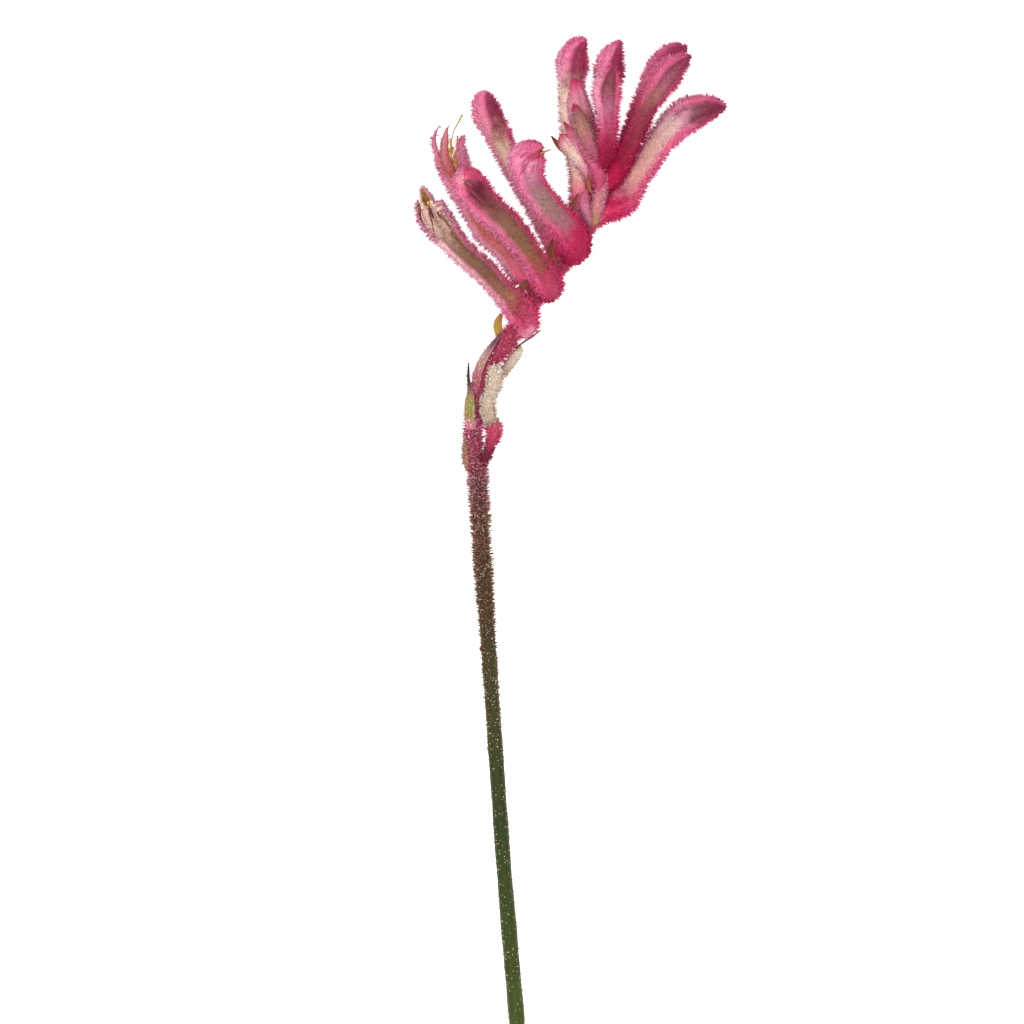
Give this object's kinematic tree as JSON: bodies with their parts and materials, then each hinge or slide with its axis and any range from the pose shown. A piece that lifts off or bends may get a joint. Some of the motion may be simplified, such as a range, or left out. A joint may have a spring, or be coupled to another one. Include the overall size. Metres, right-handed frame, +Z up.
{
  "type": "kangaroo paw flower stem",
  "caption": "Cut kangaroo paw stem laid on a surface: felted tubular flowers with hooked caps fan out from a bent flower stalk with buds, bracts and withered flowers.",
  "frame": {"origin": "centre of the bounding box on the surface that the flower lies on", "axes": "+Y along the stem from its cut end to the flowers, +Z up from the surface, +X to the right seen from above with the flowers at the top"},
  "size_m": [0.0802, 0.2812, 0.0262],
  "materials": {
    "stem_skin": "satin",
    "flower_felt": "matte",
    "dried_petal": "matte",
    "bud_felt": "matte",
    "bract_olive": "satin",
    "bract_green": "satin",
    "bract_mauve": "satin",
    "bract_brown": "satin"
  },
  "bodies": {
    "root": {"stem": "stem_skin", "flower_1": "flower_felt", "flower_2": "flower_felt", "flower_3": "flower_felt", "flower_4": "flower_felt", "flower_5": "flower_felt", "flower_6": "flower_felt", "flower_7": "flower_felt", "flower_8": "flower_felt", "flower_9": "flower_felt", "flower_10": "flower_felt", "flower_11": "flower_felt", "dried_flower_1": "dried_petal", "dried_flower_2": "dried_petal", "bud_1": "bud_felt", "bud_2": "bud_felt", "bud_3": "bud_felt", "bract_1": "bract_olive", "bract_2": "bract_green", "bract_3": "bract_mauve", "bract_4": "bract_olive", "bract_5": "bract_brown", "bract_6": "bract_brown", "bract_7": "bract_brown", "bract_8": "bract_brown"}
  },
  "joints": []
}
